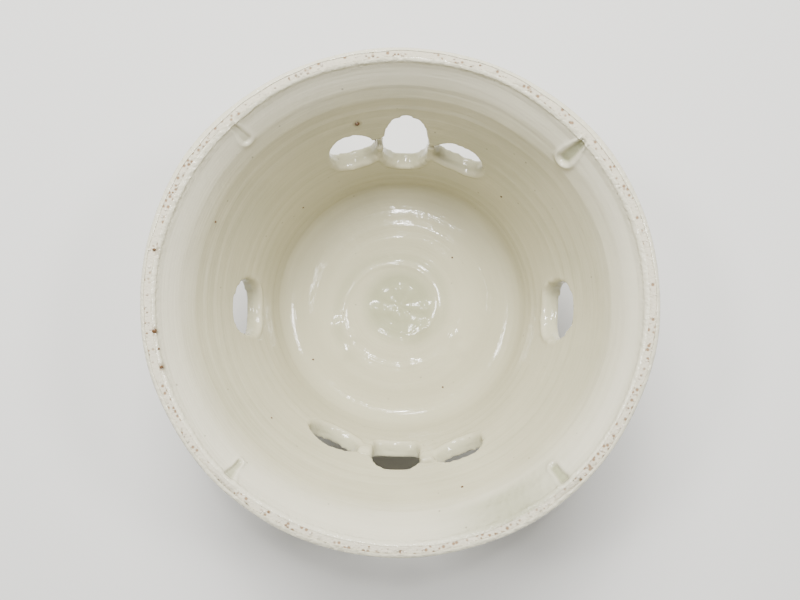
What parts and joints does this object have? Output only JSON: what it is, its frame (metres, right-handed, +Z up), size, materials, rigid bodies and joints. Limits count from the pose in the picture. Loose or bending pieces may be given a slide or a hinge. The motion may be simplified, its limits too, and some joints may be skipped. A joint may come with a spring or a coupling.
{
  "type": "pierced ceramic stand",
  "caption": "Small round porcelain stand with a deep flared well, cut openings through its wall, pressed grooves across its lip and a grey-green celadon glaze.",
  "frame": {"origin": "centre of the foot ring's resting face", "axes": "+Z up through the mouth; -Y is the front, the side of the lower group of three openings; the two single openings are at +X and -X"},
  "size_m": [0.09, 0.09, 0.05],
  "materials": {
    "fired_clay": "unglazed, dry and slightly gritty porcelain",
    "celadon_glaze": "glossy grey-green feldspar glaze, opaque over the clay",
    "pooled_glaze": "the same glaze where it pooled thick and greenish",
    "kiln_sand": "dull quartz sand fused to the bare rim",
    "iron_grain": "dark brown iron grains melted into the glaze"
  },
  "bodies": {
    "root": {"thrown_body": "fired_clay", "inside_glaze": "celadon_glaze", "outside_glaze": "celadon_glaze", "recess_glaze": "celadon_glaze", "opening_glaze": "celadon_glaze", "groove_glaze": "pooled_glaze", "rim_kiln_sand": "kiln_sand", "iron_grains": "iron_grain"}
  },
  "joints": []
}
